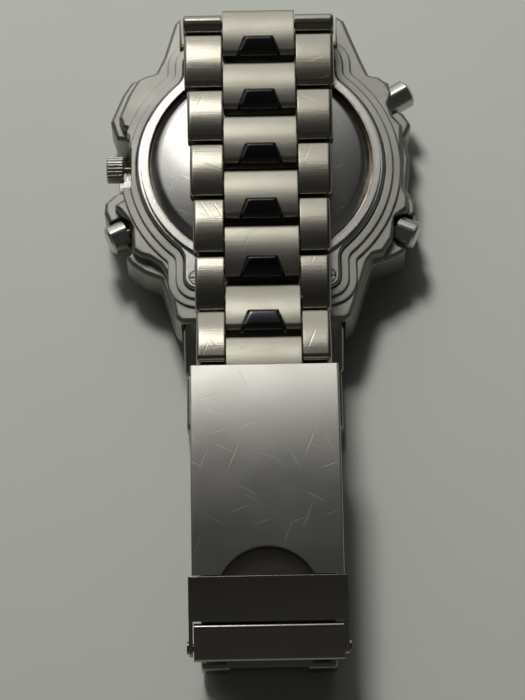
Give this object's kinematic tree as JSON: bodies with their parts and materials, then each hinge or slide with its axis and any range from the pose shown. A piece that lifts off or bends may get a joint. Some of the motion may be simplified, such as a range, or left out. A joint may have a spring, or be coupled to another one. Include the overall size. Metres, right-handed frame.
{
  "type": "wristwatch",
  "caption": "Steel wristwatch with hands and a digital display, lying face down, its link bracelet closed by a folding clasp, with crown and push pieces",
  "frame": {"origin": "centre of the crystal's front face, which lies on the table", "axes": "+Z from the face to the case back, +Y to twelve o'clock, +X to nine o'clock"},
  "size_m": [0.0448, 0.0985, 0.0189],
  "materials": {
    "case_steel": "bead-blasted stainless steel",
    "bezel_steel": "satin stainless steel",
    "crystal": "clear mineral glass",
    "gasket": "black nylon sealing ring",
    "polished_back": "mirror-polished stainless steel",
    "screw_steel": "turned steel",
    "rubber": "black rubber sealing ring",
    "dial": "black painted dial",
    "lcd": "grey-green liquid crystal cell",
    "hand": "polished plated brass",
    "movement_plastic": "moulded movement frame",
    "board": "green circuit board",
    "battery_steel": "button cell can",
    "copper": "enamelled copper winding",
    "crown_steel": "satin stainless steel",
    "spring_steel": "spring steel",
    "satin_steel": "fine satin stainless steel",
    "polished_steel": "polished stainless steel",
    "link_steel": "brushed stainless steel"
  },
  "bodies": {
    "case": {"mid_case": "case_steel", "bezel": "bezel_steel", "crystal": "crystal", "crystal_gasket": "gasket", "case_back": "polished_back", "case_back_screws": "screw_steel", "back_gasket": "rubber", "dial": "dial", "lcd_panels": "lcd", "movement_frame": "movement_plastic", "circuit_board": "board", "battery": "battery_steel", "stepper_coil": "copper", "lug_spring_bars": "spring_steel", "pusher_springs": "spring_steel"},
    "hour_hand_body": {"hour_hand": "hand"},
    "minute_hand_body": {"minute_hand": "hand"},
    "second_hand_body": {"second_hand": "hand"},
    "setting_lever_body": {"setting_lever": "screw_steel"},
    "crown_body": {"crown": "crown_steel", "winding_stem": "screw_steel"},
    "pusher_four_body": {"pusher_four": "crown_steel"},
    "pusher_eight_body": {"pusher_eight": "crown_steel"},
    "pusher_ten_body": {"pusher_ten": "crown_steel"},
    "upper_link_0_body": {"upper_link_0": "link_steel"},
    "upper_link_1_body": {"upper_link_1": "link_steel"},
    "upper_link_2_body": {"upper_link_2": "link_steel"},
    "upper_link_3_body": {"upper_link_3": "link_steel"},
    "upper_link_4_body": {"upper_link_4": "link_steel"},
    "upper_link_5_body": {"upper_link_5": "link_steel"},
    "upper_link_6_body": {"upper_link_6": "link_steel"},
    "upper_link_7_body": {"upper_link_7": "link_steel"},
    "lower_link_0_body": {"lower_link_0": "link_steel"},
    "lower_link_1_body": {"lower_link_1": "link_steel"},
    "lower_link_2_body": {"lower_link_2": "link_steel"},
    "lower_link_3_body": {"lower_link_3": "link_steel"},
    "lower_link_4_body": {"lower_link_4": "link_steel"},
    "lower_link_5_body": {"lower_link_5": "link_steel"},
    "lower_link_6_body": {"lower_link_6": "link_steel"},
    "cover_body": {"clasp_cover": "satin_steel", "clasp_spring_bar": "spring_steel", "knuckle_pin": "screw_steel"},
    "inner_leaf_body": {"inner_leaf": "satin_steel"},
    "outer_leaf_body": {"outer_leaf": "satin_steel", "leaf_pin": "screw_steel", "end_block": "polished_steel", "flap_pins": "screw_steel"},
    "safety_flap_body": {"safety_flap": "polished_steel"}
  },
  "joints": [
    {"name": "second_hand_turn", "type": "hinge", "parent": "case", "child": "second_hand_body", "pos_m": [0, 0, 0.003], "axis": [0, 0, 1], "continuous": true},
    {"name": "minute_hand_turn", "type": "hinge", "parent": "case", "child": "minute_hand_body", "pos_m": [0, 0, 0.003], "axis": [0, 0, 1], "continuous": true},
    {"name": "hour_hand_turn", "type": "hinge", "parent": "case", "child": "hour_hand_body", "pos_m": [0, 0, 0.003], "axis": [0, 0, 1], "continuous": true},
    {"name": "crown_pull", "type": "slide", "parent": "case", "child": "setting_lever_body", "axis": [-1, 0, 0], "range_m": [0, 0.001]},
    {"name": "crown_turn", "type": "hinge", "parent": "setting_lever_body", "child": "crown_body", "pos_m": [-0.011, 0.0012, 0.0071], "axis": [-1, 0, 0], "continuous": true},
    {"name": "pusher_four_press", "type": "slide", "parent": "case", "child": "pusher_four_body", "axis": [0.9063, 0.4226, 0], "range_m": [0, 0.0007], "stiffness_N_per_m": 400},
    {"name": "pusher_eight_press", "type": "slide", "parent": "case", "child": "pusher_eight_body", "axis": [-0.9063, 0.4226, 0], "range_m": [0, 0.0007], "stiffness_N_per_m": 400},
    {"name": "pusher_ten_press", "type": "slide", "parent": "case", "child": "pusher_ten_body", "axis": [-0.8526, -0.5225, 0], "range_m": [0, 0.0007], "stiffness_N_per_m": 400},
    {"name": "upper_link_0_fold", "type": "hinge", "parent": "case", "child": "upper_link_0_body", "pos_m": [0, 0.0216, 0.006], "axis": [-1, 0, 0], "range_deg": [0, 60]},
    {"name": "upper_link_1_fold", "type": "hinge", "parent": "upper_link_0_body", "child": "upper_link_1_body", "pos_m": [0, 0.0201, 0.015], "axis": [-1, 0, 0], "range_deg": [0, 80]},
    {"name": "upper_link_2_fold", "type": "hinge", "parent": "upper_link_1_body", "child": "upper_link_2_body", "pos_m": [0, 0.0115, 0.015], "axis": [-1, 0, 0], "range_deg": [0, 15]},
    {"name": "upper_link_3_fold", "type": "hinge", "parent": "upper_link_2_body", "child": "upper_link_3_body", "pos_m": [0, 0.0029, 0.015], "axis": [-1, 0, 0], "range_deg": [0, 15]},
    {"name": "upper_link_4_fold", "type": "hinge", "parent": "upper_link_3_body", "child": "upper_link_4_body", "pos_m": [0, -0.0057, 0.015], "axis": [-1, 0, 0], "range_deg": [0, 15]},
    {"name": "upper_link_5_fold", "type": "hinge", "parent": "upper_link_4_body", "child": "upper_link_5_body", "pos_m": [0, -0.0143, 0.015], "axis": [-1, 0, 0], "range_deg": [0, 15]},
    {"name": "upper_link_6_fold", "type": "hinge", "parent": "upper_link_5_body", "child": "upper_link_6_body", "pos_m": [0, -0.02287, 0.01425], "axis": [-1, 0, 0], "range_deg": [0, 15]},
    {"name": "upper_link_7_fold", "type": "hinge", "parent": "upper_link_6_body", "child": "upper_link_7_body", "pos_m": [0, -0.03134, 0.01574], "axis": [-1, 0, 0], "range_deg": [0, 15]},
    {"name": "cover_fold", "type": "hinge", "parent": "upper_link_7_body", "child": "cover_body", "pos_m": [0, -0.03992, 0.01634], "axis": [-1, 0, 0], "range_deg": [-24, 0]},
    {"name": "clasp_unfold_inner", "type": "hinge", "parent": "cover_body", "child": "inner_leaf_body", "pos_m": [0, -0.05661, 0.01579], "axis": [-1, 0, 0], "range_deg": [0, 80]},
    {"name": "clasp_unfold_outer", "type": "hinge", "parent": "inner_leaf_body", "child": "outer_leaf_body", "pos_m": [0, -0.04552, 0.01687], "axis": [1, 0, 0], "range_deg": [0, 160]},
    {"name": "flap_open", "type": "hinge", "parent": "outer_leaf_body", "child": "safety_flap_body", "pos_m": [0, -0.0715, 0.01213], "axis": [1, 0, 0], "range_deg": [0, 150]},
    {"name": "lower_link_0_fold", "type": "hinge", "parent": "case", "child": "lower_link_0_body", "pos_m": [0, -0.0223, 0.006], "axis": [1, 0, 0], "range_deg": [0, 15]},
    {"name": "lower_link_1_fold", "type": "hinge", "parent": "lower_link_0_body", "child": "lower_link_1_body", "pos_m": [0, -0.02705, 0.00195], "axis": [1, 0, 0], "range_deg": [0, 12]},
    {"name": "lower_link_2_fold", "type": "hinge", "parent": "lower_link_1_body", "child": "lower_link_2_body", "pos_m": [0, -0.03565, 0.00206], "axis": [1, 0, 0], "range_deg": [0, 12]},
    {"name": "lower_link_3_fold", "type": "hinge", "parent": "lower_link_2_body", "child": "lower_link_3_body", "pos_m": [0, -0.04425, 0.00217], "axis": [1, 0, 0], "range_deg": [0, 12]},
    {"name": "lower_link_4_fold", "type": "hinge", "parent": "lower_link_3_body", "child": "lower_link_4_body", "pos_m": [0, -0.05285, 0.00228], "axis": [1, 0, 0], "range_deg": [0, 12]},
    {"name": "lower_link_5_fold", "type": "hinge", "parent": "lower_link_4_body", "child": "lower_link_5_body", "pos_m": [0, -0.06145, 0.00238], "axis": [1, 0, 0], "range_deg": [0, 3]},
    {"name": "lower_link_6_fold", "type": "hinge", "parent": "lower_link_5_body", "child": "lower_link_6_body", "pos_m": [0, -0.07005, 0.00249], "axis": [-1, 0, 0], "range_deg": [0, 20]}
  ],
  "couplings": [
    {"joint": "minute_hand_turn", "follows": "second_hand_turn", "ratio": 0.016667},
    {"joint": "hour_hand_turn", "follows": "second_hand_turn", "ratio": 0.0013889},
    {"joint": "clasp_unfold_inner", "follows": "upper_link_1_fold", "ratio": 1},
    {"joint": "clasp_unfold_outer", "follows": "upper_link_1_fold", "ratio": 2},
    {"joint": "cover_fold", "follows": "upper_link_1_fold", "ratio": -0.3},
    {"joint": "lower_link_6_fold", "follows": "upper_link_1_fold", "ratio": 0.25}
  ]
}
